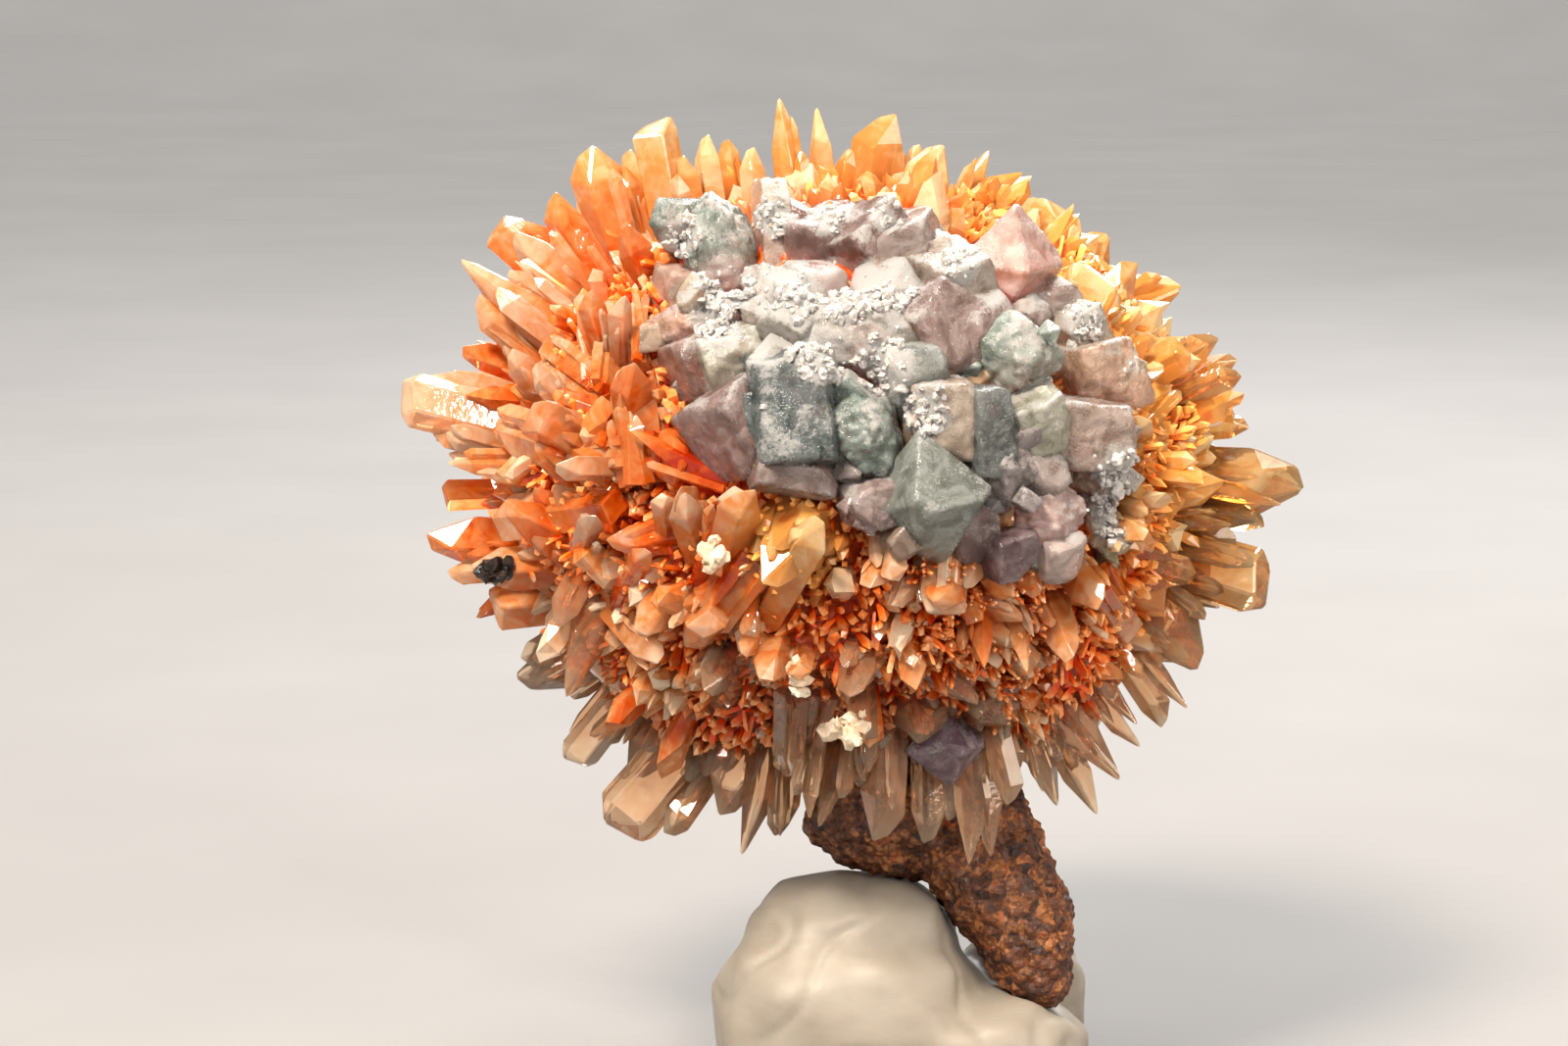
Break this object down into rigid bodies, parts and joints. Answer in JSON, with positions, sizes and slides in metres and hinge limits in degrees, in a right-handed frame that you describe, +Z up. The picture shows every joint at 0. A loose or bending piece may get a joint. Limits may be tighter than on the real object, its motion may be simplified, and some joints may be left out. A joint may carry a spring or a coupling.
{
  "type": "creedite with fluorite mineral specimen",
  "caption": "Rounded ball of radiating orange creedite crystals with teal and lilac fluorite on its upper front, held by its brown matrix in an off-white putty lump.",
  "frame": {"origin": "on the putty's flat underside, straight below the middle of the creedite ball", "axes": "+Z up, +X to the right of the front view; the side with the fluorite faces -Y"},
  "size_m": [0.0687, 0.0557, 0.0755],
  "materials": {
    "creedite": "gloss",
    "fluorite": "satin",
    "purple_fluorite": "gloss",
    "matrix": "matte",
    "putty": "matte"
  },
  "bodies": {
    "root": {"creedite_cluster": "creedite", "fluorite_cluster": "fluorite", "purple_fluorite": "purple_fluorite", "matrix_stub": "matrix", "mounting_putty": "putty"}
  },
  "joints": []
}
